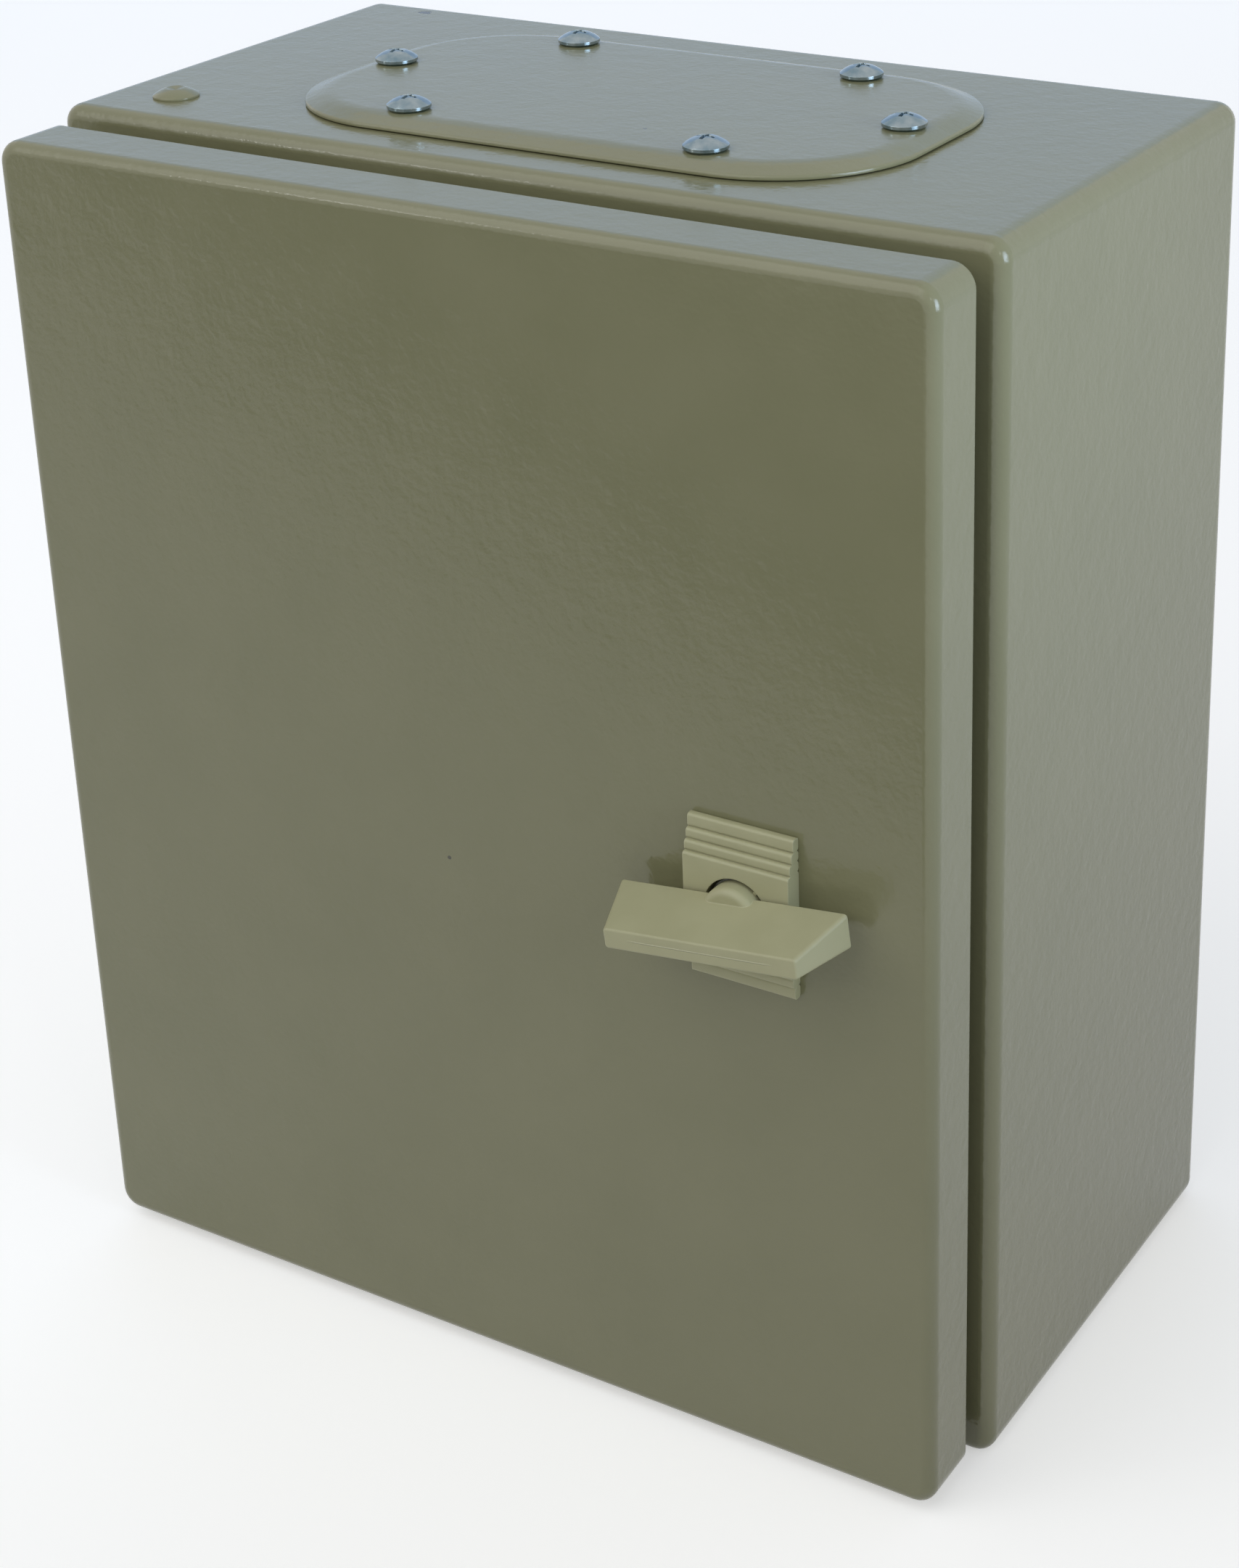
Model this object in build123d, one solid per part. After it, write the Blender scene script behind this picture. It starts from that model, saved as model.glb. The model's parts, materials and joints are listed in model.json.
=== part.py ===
from build123d import *
import math
import os

# Wall-mounting sheet steel enclosure with a hinged pan door, a quarter turn wing handle,
# a raised gland plate on top and a mounting plate inside.
# Millimetres. X is right seen from the front, Y runs from the door to the wall, Z is up.
# The origin is the centre of the case's underside.

# Case: one folded and welded sheet
case_width = 250.0
case_height = 300.0
case_depth = 125.0
case_sheet = 1.2
case_corner_r = 5.0
case_front_r = 3.5
flange_width = 16.0
lip_reach = 18.0
lip_corner_r = 6.0
lip_bend_r = 1.0

# Door: a pan that stands in front of the case
door_standoff = 25.0
door_inset = 2.5
door_sheet = 1.5
door_rim_depth = 17.0
door_corner_r = 5.5
door_bend_r = 3.0

# Foamed seal between the door and the lip
seal_width = 10.0
seal_corner_r = 8.0
seal_edge_r = 2.0
seal_to_lip = 0.2

# Gland plate, its seal, its cable opening and its screws
gland_x = 1.3
gland_y = -3.3
gland_length = 160.0
gland_breadth = 91.5
gland_corner_r = 34.0
gland_rise = 3.0
gland_foot = 0.3
gland_brim = 1.2
gland_skirt = 5.5
gland_sheet = 1.2
gland_edge_r = 10.0
gland_brim_r = 0.6
gland_seal_width = 12.0
gland_seal_margin = 0.25
gland_seal_overlap = 1.5
gland_side_screw_share = 0.25
gland_side_screw_inset = 10.25
gland_end_screw_inset = 10.0
gland_screw_r = 2.5
gland_screw_foot_r = 4.7
gland_screw_head_r = 5.2
gland_screw_head_height = 3.2
gland_screw_rim_low = 0.5
gland_screw_rim_high = 1.2
gland_screw_length = 12.0
gland_screw_chamfer = 0.5
screw_clearance = 0.3
cross_length = 4.6
cross_width = 1.1
cross_depth = 1.8
cross_taper = 12.0
gland_nut_across = 8.0
gland_nut_height = 4.0
gland_nut_collar_r = 3.5
thread_clearance = 0.03

# Hinge: a cranked strap riveted inside the case, a fork on the door and a headed pin
hinge_axis_inset = 7.7
hinge_axis_forward = 12.5
hinge_drop = 11.0
hinge_pin_r = 2.0
hinge_pin_clearance = 0.05
pin_head_r = 3.2
pin_head_height = 1.2
pin_tail = 2.4
pin_chamfer = 0.4
pin_head_edge_r = 0.5
clip_r = 3.4
clip_bore_clearance = 0.02
clip_to_fork = 0.1
clip_thickness = 0.8
clip_gap = 0.4
strap_thickness = 2.0
strap_eye_r = 3.3
strap_knee_r = 2.8
strap_knee_right = 4.2
strap_knee_back = 16.2
strap_crank_start = 4.5
strap_crank_run = 4.0
strap_pad_r = 9.0
strap_pad_back = 1.0
strap_slot_margin = 0.6
fork_sheet = 1.5
fork_ear_r = 3.4
fork_gap = 0.3
fork_web_length = 26.0
fork_web_margin = 0.1
door_notch_depth = 11.2
door_notch_margin = 0.8
rivet_inset_x = 21.0
rivet_inset_y = 18.0
rivet_r = 2.5
rivet_head_r = 5.6
rivet_head_height = 2.1
rivet_rim_height = 0.5
rivet_dimple_r = 2.2
rivet_dimple_depth = 0.6
rivet_slope_bulge = 0.2
rivet_tail_r = 3.8
rivet_tail_end_r = 2.7
rivet_tail_length = 2.5
rivet_sink_r = 4.7

# Lock in the door
lock_from_right = 48.5
lock_above_middle = 0.0
lock_face_width = 26.5
lock_face_height = 39.5
lock_face_thickness = 4.7
lock_face_end_thickness = 2.2
lock_bands = [3.4, 3.0, 2.9]
lock_band_fall = 0.25
lock_edge_r = 0.5
lock_shortest_rounded_edge = 1.0
lock_recess_r = 8.0
lock_recess_floor = 0.5
lock_rib_width = 1.0
lock_rib_height = 0.7
lock_rib_angle = 50.0
lock_rib_clearance = 0.3
lock_barrel_r = 9.0
lock_barrel_flat = 8.0
lock_hole_clearance = 0.2
lock_nut_across = 23.0
lock_nut_height = 4.0
lock_seal_inner_r = 9.3
lock_seal_outer_r = 11.8
lock_seal_thickness = 1.0
lock_seal_clearance = 0.1

# Turning parts of the lock
spindle_r = 6.0
spindle_clearance = 0.05
spindle_flange_r = 7.4
spindle_flange_thickness = 2.4
spindle_float = 0.3
spindle_square = 7.0
spindle_tail_short = 0.1
square_clearance = 0.05
square_depth = 4.0
oring_section_r = 0.7
oring_clearance = 0.02
oring_groove_depth = 1.7
oring_groove_clearance = 0.15
hub_r = 7.0
hub_front = 8.2
hub_edge_r = 1.8
wing_tilt = 6.8
wing_root = 5.4
wing_tip = 20.9
wing_root_length = 57.5
wing_tip_length = 48.4
wing_root_top = 4.2
wing_tip_top = 0.4
wing_root_bottom = -4.0
wing_tip_bottom = -4.4
wing_corner_r = 0.9
wing_edge_r = 0.6
cam_thickness = 2.5
cam_length = 42.0
cam_boss_r = 10.0
cam_tip_width = 13.0
cam_to_flange = 2.2
cam_to_barrel = 0.4
cam_screw_r = 2.5
cam_screw_depth = 9.0
cam_screw_bore_room = 1.0
cam_screw_head_r = 4.3
cam_screw_head_height = 2.8
cam_screw_edge_r = 0.5
cam_screw_socket = 4.0
cam_screw_socket_depth = 2.2
cam_washer_r = 6.0
cam_washer_thickness = 1.0

# Mounting plate on four welded studs
plate_margin = 50.0
plate_thickness = 2.0
plate_chamfer = 20.0
plate_stud_margin_x = 90.0
plate_stud_margin_z = 90.0
plate_standoff = 10.0
stud_r = 3.0
stud_length = 25.0
stud_chamfer = 0.6
stud_collar_r = 5.0
stud_hole_clearance = 0.4
washer_r = 6.0
washer_clearance = 0.2
washer_thickness = 1.6
nut_across = 10.0
nut_height = 5.0
nut_bevel = 0.98

# Wall fixing holes
wall_hole_r = 4.25
wall_hole_margin = 50.0

# Earth studs
case_earth_y = 20.0
earth_height = 40.0
earth_stud_length = 16.0
door_earth_inset = 40.0

# Places that follow from the sizes
cut = 1.0
near = 0.01
half_width = case_width / 2
mid_height = case_height / 2
back_y = case_depth / 2
front_y = -case_depth / 2
flange_inner_y = front_y + case_sheet
lip_front_y = front_y - lip_reach
lip_width = case_width - 2 * flange_width
lip_height = case_height - 2 * flange_width
door_face_y = front_y - door_standoff
door_inner_y = door_face_y + door_sheet
door_rim_y = door_face_y + door_rim_depth
door_width = case_width - 2 * door_inset
door_height = case_height - 2 * door_inset
hinge_x = -half_width + hinge_axis_inset
hinge_y = front_y - hinge_axis_forward
rivet_x = -half_width + rivet_inset_x
rivet_y = front_y + rivet_inset_y
lock_x = half_width - lock_from_right
lock_z = mid_height + lock_above_middle
plate_back_y = back_y - case_sheet - plate_standoff
plate_front_y = plate_back_y - plate_thickness
gland_side_x = gland_length * gland_side_screw_share
gland_side_y = gland_breadth / 2 - gland_side_screw_inset
gland_end_x = gland_length / 2 - gland_end_screw_inset
gland_spots = [
    (gland_x + gland_side_x, gland_y + gland_side_y),
    (gland_x - gland_side_x, gland_y + gland_side_y),
    (gland_x + gland_side_x, gland_y - gland_side_y),
    (gland_x - gland_side_x, gland_y - gland_side_y),
    (gland_x + gland_end_x, gland_y),
    (gland_x - gland_end_x, gland_y),
]


def save(name, solid):
    """Write one node to its own file."""
    export_step(solid, f"parts/{name}.step")


def group(solids):
    """Keep like fasteners together in one node as separate solids."""
    return Compound(children=list(solids))


def front_slab(outline, y_low, y_high):
    """Extrude an outline drawn in X and Z between two depths."""
    return extrude(Plane.XZ.offset(-y_high) * outline, amount=y_high - y_low)


def flat_slab(outline, z_low, z_high):
    """Extrude an outline drawn in X and Y between two heights."""
    return extrude(Plane.XY.offset(z_low) * outline, amount=z_high - z_low)


def rod_y(x, z, radius, y_low, y_high):
    """Round bar along Y."""
    return front_slab(Pos(x, z) * Circle(radius), y_low, y_high)


def rod_z(x, y, radius, z_low, z_high):
    """Round bar along Z."""
    return flat_slab(Pos(x, y) * Circle(radius), z_low, z_high)


def soft_block(width, height, y_low, y_high, z_low, side_r, front_r, back_r):
    """Box with rounded long edges, rounded front edges and rounded back edges."""
    block = front_slab(Pos(0, z_low + height / 2) * Rectangle(width, height), y_low, y_high)
    block = fillet(block.edges().filter_by(Axis.Y), side_r)
    if front_r > 0:
        block = fillet(block.edges().group_by(Axis.Y)[0], front_r)
    if back_r > 0:
        block = fillet(block.edges().group_by(Axis.Y)[-1], back_r)
    return block


def edges_at(shape, y, half_x, half_z):
    """Edges of the loop that lies at one depth around the middle of the front."""
    chosen = []
    for edge in shape.edges():
        box = edge.bounding_box()
        reach_x = max(abs(box.min.X), abs(box.max.X))
        reach_z = max(abs(box.min.Z - mid_height), abs(box.max.Z - mid_height))
        flat = abs(box.min.Y - y) < near and abs(box.max.Y - y) < near
        inside = reach_x < half_x + near and reach_z < half_z + near
        wide = reach_x > half_x - lip_corner_r - near
        high = reach_z > half_z - lip_corner_r - near
        if flat and inside and (wide or high):
            chosen.append(edge)
    return chosen


def hex_prism(across, height):
    """Hexagon prism standing on the XY plane, across its flats."""
    return extrude(RegularPolygon(across / 2, 6, major_radius=False), amount=height)


def hex_nut(across, height, bore_r):
    """Hexagon nut with chamfered corners and a plain bore, standing on the XY plane."""
    corner_r = across / 2 / math.cos(math.radians(30))
    face_r = across / 2 * nut_bevel
    drop = (corner_r - face_r) * math.tan(math.radians(30))
    profile = Polyline(
        (0, 0), (face_r, 0), (corner_r, drop), (corner_r, height - drop),
        (face_r, height), (0, height), close=True,
    )
    turned = revolve(Plane.XZ * make_face(profile), Axis.Z)
    nut = hex_prism(across, height) & turned
    return nut - Pos(0, 0, height / 2) * Cylinder(bore_r, height + 2 * cut)


def washer(outer_r, inner_r, thickness):
    """Flat washer standing on the XY plane."""
    return extrude(Circle(outer_r) - Circle(inner_r), amount=thickness)


# Case


def hinge_sides():
    """The heights of the two strap mid planes, with the sign that mirrors the lower one."""
    return [(case_height - hinge_drop, 1), (hinge_drop, -1)]


def strap_plan():
    """Outline of the hinge strap from above: eye, neck, knee and riveted pad."""
    knee_x = hinge_x + strap_knee_right
    knee_y = hinge_y + strap_knee_back
    eye = Pos(hinge_x, hinge_y) * Circle(strap_eye_r)
    knee = Pos(knee_x, knee_y) * Circle(strap_knee_r)
    pad = Pos(rivet_x, rivet_y + strap_pad_back) * Circle(strap_pad_r)
    neck = make_hull((eye + knee).edges())
    body = make_hull((knee + pad).edges())
    return neck + body


def crank_profile(level, side):
    """Side outline of the strap in Y and Z, low at the eye and up against the wall at the rivet."""
    wall = mid_height + side * (mid_height - case_sheet)
    half = strap_thickness / 2
    seat = wall - side * half
    bend_y = flange_inner_y + strap_crank_start
    rise_y = bend_y + strap_crank_run
    front = hinge_y - strap_eye_r - cut
    rear = rivet_y + strap_pad_back + strap_pad_r + cut
    slope = math.atan2(abs(seat - level), strap_crank_run)
    shift = half * math.tan(slope / 2)
    upper = [
        (front, level + side * half),
        (bend_y - shift, level + side * half),
        (rise_y - shift, seat + side * half),
        (rear, seat + side * half),
    ]
    lower = [
        (rear, seat - side * half),
        (rise_y + shift, seat - side * half),
        (bend_y + shift, level - side * half),
        (front, level - side * half),
    ]
    return make_face(Polyline(*(upper + lower), close=True))


def hinge_strap(level, side):
    """Cranked strap: its side outline cut to its plan, with the pin eye and the rivet hole."""
    reach = strap_pad_r + rivet_inset_x
    side_view = Plane.YZ.offset(rivet_x - reach) * crank_profile(level, side)
    strip = extrude(side_view, amount=2 * reach)
    strap = strip & flat_slab(strap_plan(), 0, case_height)
    strap -= rod_z(hinge_x, hinge_y, hinge_pin_r + hinge_pin_clearance, 0, case_height)
    wall = mid_height + side * (mid_height - case_sheet)
    if side > 0:
        strap -= rod_z(rivet_x, rivet_y, rivet_r, wall - 2 * strap_thickness, wall + cut)
    else:
        strap -= sunk_rivet_body()
    return strap


def sunk_rivet_body():
    """Countersunk rivet, flush with the underside so that the case stands flat."""
    sink = rivet_sink_r - rivet_r
    tail = case_sheet + strap_thickness
    profile = Polyline(
        (0, 0), (rivet_sink_r, 0), (rivet_r, sink), (rivet_r, tail), (rivet_tail_r, tail),
        (rivet_tail_end_r, tail + rivet_tail_length), (0, tail + rivet_tail_length), close=True,
    )
    return Pos(rivet_x, rivet_y, 0) * revolve(Plane.XZ * make_face(profile), Axis.Z)


def domed_rivet():
    """Blind rivet with a low domed head and the dimple that its mandrel leaves."""
    grip = case_sheet + strap_thickness
    middle_r = (rivet_head_r + rivet_dimple_r) / 2
    middle_z = (rivet_rim_height + rivet_head_height) / 2 + rivet_slope_bulge
    slope = ThreePointArc(
        (rivet_head_r, rivet_rim_height), (middle_r, middle_z), (rivet_dimple_r, rivet_head_height)
    )
    rest = Polyline(
        (rivet_dimple_r, rivet_head_height),
        (0, rivet_head_height - rivet_dimple_depth),
        (0, -grip - rivet_tail_length),
        (rivet_tail_end_r, -grip - rivet_tail_length),
        (rivet_tail_r, -grip),
        (rivet_r, -grip),
        (rivet_r, 0),
        (rivet_head_r, 0),
        (rivet_head_r, rivet_rim_height),
    )
    face = make_face(Curve() + [slope, rest])
    return Pos(rivet_x, rivet_y, case_height) * revolve(Plane.XZ * face, Axis.Z)


def gland_outline(inset):
    """Outline of the gland plate's foot, drawn in all round."""
    outline = RectangleRounded(
        gland_length - 2 * inset, gland_breadth - 2 * inset, gland_corner_r - inset
    )
    return Pos(gland_x, gland_y) * outline


def enclosure_case():
    """Folded shell with an inward flange, a forward lip, openings, holes and slots."""
    outer = soft_block(
        case_width, case_height, front_y, back_y, 0, case_corner_r, case_front_r, case_corner_r
    )
    inner = soft_block(
        case_width - 2 * case_sheet, case_height - 2 * case_sheet, flange_inner_y,
        back_y - case_sheet, case_sheet, case_corner_r - case_sheet,
        case_front_r - case_sheet, case_corner_r - case_sheet,
    )
    mouth = Pos(0, mid_height) * RectangleRounded(lip_width, lip_height, lip_corner_r)
    bore = Pos(0, mid_height) * RectangleRounded(
        lip_width - 2 * case_sheet, lip_height - 2 * case_sheet, lip_corner_r - case_sheet
    )
    shell = outer - inner + front_slab(mouth, lip_front_y, flange_inner_y)
    shell -= front_slab(bore, lip_front_y - cut, flange_inner_y + cut)
    shell = fillet(edges_at(shell, front_y, lip_width / 2, lip_height / 2), lip_bend_r)
    inner_loop = edges_at(
        shell, flange_inner_y, lip_width / 2 - case_sheet, lip_height / 2 - case_sheet
    )
    shell = fillet(inner_loop, lip_bend_r + case_sheet)

    wall_x = half_width - wall_hole_margin / 2
    wall_z = mid_height - wall_hole_margin / 2
    for sx in (-1, 1):
        for sz in (-1, 1):
            spot_z = mid_height + sz * wall_z
            shell -= rod_y(sx * wall_x, spot_z, wall_hole_r, back_y - 2 * case_sheet, back_y + cut)

    top_low = case_height - 2 * case_sheet
    top_high = case_height + cut
    hole_inset = gland_skirt + gland_seal_margin + gland_seal_width + gland_seal_overlap
    shell -= flat_slab(gland_outline(hole_inset), top_low, top_high)
    for x, y in gland_spots:
        shell -= rod_z(x, y, gland_nut_collar_r, top_low, top_high)

    shell -= rod_z(rivet_x, rivet_y, rivet_r, top_low, top_high)
    shell -= sunk_rivet_body()
    for level, side in hinge_sides():
        shell -= strap_slot(level)
    return shell


def strap_slot(level):
    """Slot in the flange that the strap's neck passes through."""
    slant = strap_knee_right / strap_knee_back
    neck_x = hinge_x + slant * (flange_inner_y - hinge_y)
    width = 2 * (strap_knee_r * math.hypot(1, slant) + strap_slot_margin)
    height = strap_thickness + 2 * strap_slot_margin
    outline = Pos(neck_x, level) * Rectangle(width, height)
    return front_slab(outline, front_y - cut, flange_inner_y + cut)


# Gland plate on top


def skirt_run(height):
    """How far the gland plate's skirt runs inwards over a height."""
    return height * gland_skirt / (gland_rise - gland_brim)


def skirt_wall():
    """Thickness of the skirt's sheet measured level."""
    return gland_sheet / math.sin(math.atan2(gland_rise - gland_brim, gland_skirt))


def gland_pan(inset, low, high):
    """Solid with the skirt's slope between two heights, drawn in at the lower one."""
    foot = Pos(0, 0, low) * gland_outline(inset)
    crown = Pos(0, 0, high) * gland_outline(inset + skirt_run(high - low))
    return loft([foot, crown])


def gland_plate():
    """Pressed plate: a flat top, a soft shoulder, a low skirt and a foot just clear of the case."""
    brim = flat_slab(gland_outline(0.0), gland_foot, gland_brim)
    outside = brim + gland_pan(0.0, gland_brim, gland_rise)
    outside = fillet(outside.edges().group_by(Axis.Z)[-1], gland_edge_r)
    brim_edges = outside.edges().filter_by_position(Axis.Z, gland_brim - near, gland_brim + near)
    outside = fillet(brim_edges, gland_brim_r)
    hollow_inset = skirt_wall() - skirt_run(gland_brim)
    plate = outside - gland_pan(hollow_inset, 0.0, gland_rise - gland_sheet)
    for x, y in gland_spots:
        plate -= Pos(x, y, gland_rise) * Cylinder(gland_screw_r + screw_clearance, 4 * gland_sheet)
    return Pos(0, 0, case_height) * plate


def gland_seal():
    """Foam ring squeezed between the gland plate and the case."""
    hollow_edge = gland_skirt + skirt_wall() - skirt_run(gland_sheet)
    outer = gland_outline(hollow_edge + gland_seal_margin)
    inner = gland_outline(gland_skirt + gland_seal_margin + gland_seal_width)
    ring = flat_slab(outer - inner, case_height, case_height + gland_rise - gland_sheet)
    for x, y in gland_spots:
        ring -= rod_z(x, y, gland_screw_r + screw_clearance, case_height - cut, case_height + gland_rise)
    return ring


def dome_arc(edge_r, edge_z, top_z):
    """Arc of a low dome, from its edge up to its top on the axis."""
    rise = top_z - edge_z
    radius = (edge_r ** 2 + rise ** 2) / (2 * rise)
    half_r = edge_r / 2
    half_z = top_z - radius + math.sqrt(radius ** 2 - half_r ** 2)
    return ThreePointArc((edge_r, edge_z), (half_r, half_z), (0, top_z))


def gland_screw():
    """Low domed screw with a cross recess that tapers to its floor. The head stands on the XY plane."""
    top = gland_screw_head_height
    rim = Polyline(
        (0, 0), (gland_screw_foot_r, 0),
        (gland_screw_head_r, gland_screw_rim_low), (gland_screw_head_r, gland_screw_rim_high),
    )
    dome = dome_arc(gland_screw_head_r, gland_screw_rim_high, top)
    outline = Curve() + [rim, dome, Line((0, top), (0, 0))]
    head = revolve(Plane.XZ * make_face(outline), Axis.Z)
    shank = rod_z(0, 0, gland_screw_r, -gland_screw_length, 0)
    shank = chamfer(shank.edges().group_by(Axis.Z)[0], gland_screw_chamfer)
    cross = Rectangle(cross_length, cross_width) + Rectangle(cross_width, cross_length)
    recess = extrude(Plane.XY.offset(top) * cross, amount=-cross_depth, taper=cross_taper)
    return head + shank - recess


def gland_nut():
    """Press nut: its collar fills the hole in the case, its body hangs inside."""
    bore_r = gland_screw_r + thread_clearance
    body = hex_nut(gland_nut_across, gland_nut_height, bore_r)
    collar = washer(gland_nut_collar_r, bore_r, case_sheet)
    return Pos(0, 0, -case_sheet - gland_nut_height) * body + Pos(0, 0, -case_sheet) * collar


# Mounting plate and its fixings


def stud_spots():
    """Places of the four mounting studs."""
    x = half_width - plate_stud_margin_x / 2
    z = case_height / 2 - plate_stud_margin_z / 2
    return [(sx * x, mid_height + sz * z) for sx in (-1, 1) for sz in (-1, 1)]


def on_back(piece, x, z, y):
    """Turn a piece that stands on the XY plane so that it points from y to the door."""
    return Pos(x, y, z) * Rot(90, 0, 0) * piece


def mounting_plate():
    """Flat plate with cut corners that leave the wall fixing holes free."""
    width = case_width - plate_margin
    height = case_height - plate_margin
    outline = chamfer(Rectangle(width, height).vertices(), plate_chamfer)
    plate = front_slab(Pos(0, mid_height) * outline, plate_front_y, plate_back_y)
    for x, z in stud_spots():
        plate -= rod_y(x, z, stud_r + stud_hole_clearance, plate_front_y - cut, plate_back_y + cut)
    return plate


def plate_stud():
    """Welded stud with the collar that holds the plate off the back wall."""
    shank = extrude(Circle(stud_r), amount=stud_length)
    shank = chamfer(shank.edges().group_by(Axis.Z)[-1], stud_chamfer)
    return shank + extrude(Circle(stud_collar_r), amount=plate_standoff)


# Door


def door_panel():
    """Folded pan with soft corners, notches for the hinge straps and the lock hole."""
    z_low = door_inset
    outer = soft_block(
        door_width, door_height, door_face_y, door_rim_y, z_low, door_corner_r, door_bend_r, 0
    )
    inner = soft_block(
        door_width - 2 * door_sheet, door_height - 2 * door_sheet, door_inner_y,
        door_rim_y + cut, z_low + door_sheet, door_corner_r - door_sheet,
        door_bend_r - door_sheet, 0,
    )
    pan = outer - inner
    notch_height = strap_thickness + 2 * door_notch_margin
    for level, side in hinge_sides():
        slot = Pos(-door_width / 2, level) * Rectangle(4 * door_sheet, notch_height)
        pan -= front_slab(slot, door_rim_y - door_notch_depth, door_rim_y + cut)
    pan -= front_slab(lock_hole(lock_hole_clearance), door_face_y - cut, door_inner_y + cut)
    return pan


def lock_hole(clearance):
    """Round outline with two flats that stops the lock turning in the door."""
    radius = lock_barrel_r + clearance
    flats = Rectangle(2 * (lock_barrel_flat + clearance), 2 * radius)
    return Pos(lock_x, lock_z) * (Circle(radius) & flats)


def door_seal():
    """Foam seal along the inside of the door, opposite the case's lip."""
    middle_width = lip_width - case_sheet
    middle_height = lip_height - case_sheet
    outer = RectangleRounded(
        middle_width + seal_width, middle_height + seal_width, seal_corner_r + seal_width / 2
    )
    inner = RectangleRounded(
        middle_width - seal_width, middle_height - seal_width, seal_corner_r - seal_width / 2
    )
    free_y = lip_front_y - seal_to_lip
    ring = front_slab(Pos(0, mid_height) * (outer - inner), door_inner_y, free_y)
    return fillet(ring.edges().group_by(Axis.Y)[-1], seal_edge_r)


def hinge_fork(level, side):
    """Folded fork on the door: a welded web and two ears around the strap's eye."""
    half = strap_thickness / 2 + fork_gap
    left = -door_width / 2 + door_sheet + door_sheet + fork_web_margin
    right = hinge_x + fork_ear_r
    root = Pos((left + right) / 2, door_inner_y + fork_sheet / 2) * Rectangle(
        right - left, fork_sheet
    )
    eye = Pos(hinge_x, hinge_y) * Circle(fork_ear_r)
    ear = make_hull((eye + root).edges())
    low = level - half - fork_sheet
    high = level + half + fork_sheet
    fork = flat_slab(ear, low, low + fork_sheet) + flat_slab(ear, high - fork_sheet, high)
    web_low = high - fork_web_length if side > 0 else low
    web = Pos((left + right) / 2, web_low + fork_web_length / 2) * Rectangle(
        right - left, fork_web_length
    )
    fork += front_slab(web, door_inner_y, door_inner_y + fork_sheet)
    return fork - rod_z(hinge_x, hinge_y, hinge_pin_r, low - cut, high + cut)


def hinge_pin(level):
    """Headed pin through the fork and the strap's eye, with a groove for its clip."""
    half = strap_thickness / 2 + fork_gap + fork_sheet
    low = level - half - pin_tail
    high = level + half
    pin = rod_z(hinge_x, hinge_y, hinge_pin_r, low, high)
    pin = chamfer(pin.edges().group_by(Axis.Z)[0], pin_chamfer)
    head = rod_z(hinge_x, hinge_y, pin_head_r, high, high + pin_head_height)
    head = fillet(head.edges().group_by(Axis.Z)[-1], pin_head_edge_r)
    return pin + head


def hinge_clip(level):
    """Spring clip under the lower ear."""
    top = level - strap_thickness / 2 - fork_gap - fork_sheet - clip_to_fork
    ring = Circle(clip_r) - Circle(hinge_pin_r + clip_bore_clearance)
    mouth = Pos(clip_r, 0) * Rectangle(2 * clip_r, 2 * clip_gap)
    return flat_slab(Pos(hinge_x, hinge_y) * (ring - mouth), top - clip_thickness, top)


# Lock


def off_door(distance):
    """Depth of a point that stands this far in front of the door."""
    return door_face_y - distance


def ridge_profile():
    """Section of the lock's face in height and thickness: stepped bands up to a flat middle."""
    half = lock_face_height / 2
    rise = (lock_face_thickness - lock_face_end_thickness) / len(lock_bands)
    points = [(half, 0.0), (half, lock_face_end_thickness)]
    v = half
    w = lock_face_end_thickness
    for band in lock_bands:
        v -= band
        points.append((v, w - lock_band_fall))
        w += rise
        points.append((v - lock_band_fall, w))
    mirrored = [(-pv, pw) for pv, pw in reversed(points)]
    return points + mirrored


def lock_housing():
    """One moulding: ridged face, hub recess, seal groove and the barrel through the door."""
    outline = make_face(Polyline(*ridge_profile(), close=True))
    # drawn in height and thickness, so its second axis points out of the door
    plane = Plane(
        origin=(lock_x - lock_face_width / 2, door_face_y, lock_z),
        x_dir=(0, 0, 1), z_dir=(1, 0, 0),
    )
    face = extrude(plane * outline, amount=lock_face_width)
    raised = face.edges().filter_by_position(
        Axis.Y, off_door(lock_face_thickness + cut), off_door(lock_edge_r / 2)
    )
    ends = [e for e in raised if abs(abs(e.center().X - lock_x) - lock_face_width / 2) < near]
    face = fillet([e for e in ends if e.length > lock_shortest_rounded_edge], lock_edge_r)
    barrel_back = flange_inner_y + cam_to_flange - cam_to_barrel
    barrel = front_slab(lock_hole(0.0), door_face_y, barrel_back)
    body = face + barrel
    recess = rod_y(
        lock_x, lock_z, lock_recess_r,
        off_door(lock_face_thickness + cut), off_door(lock_recess_floor),
    )
    rib_angle = math.radians(lock_rib_angle)
    rib_mid = lock_recess_r - lock_rib_height / 2
    rib = Pos(
        lock_x + rib_mid * math.cos(rib_angle), lock_z + rib_mid * math.sin(rib_angle)
    ) * Rot(0, 0, lock_rib_angle) * Rectangle(2 * lock_rib_height, lock_rib_width)
    rib_slab = front_slab(
        rib, off_door(lock_face_thickness - lock_edge_r),
        off_door(
            lock_recess_floor + spindle_float + spindle_flange_thickness + lock_rib_clearance
        ),
    )
    body = body - recess + (rib_slab & recess)
    bore_r = spindle_r + spindle_clearance
    body -= rod_y(lock_x, lock_z, bore_r, off_door(lock_face_thickness), barrel_back + cut)
    groove_r = spindle_r + oring_clearance + 2 * oring_section_r + oring_groove_clearance
    groove_back = off_door(lock_recess_floor) + oring_groove_depth
    body -= rod_y(lock_x, lock_z, groove_r, off_door(lock_face_thickness), groove_back)
    seat = Circle(lock_seal_outer_r + lock_seal_clearance) - Circle(
        lock_seal_inner_r - lock_seal_clearance
    )
    body -= front_slab(
        Pos(lock_x, lock_z) * seat, off_door(lock_seal_thickness), door_face_y
    )
    return body


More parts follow.
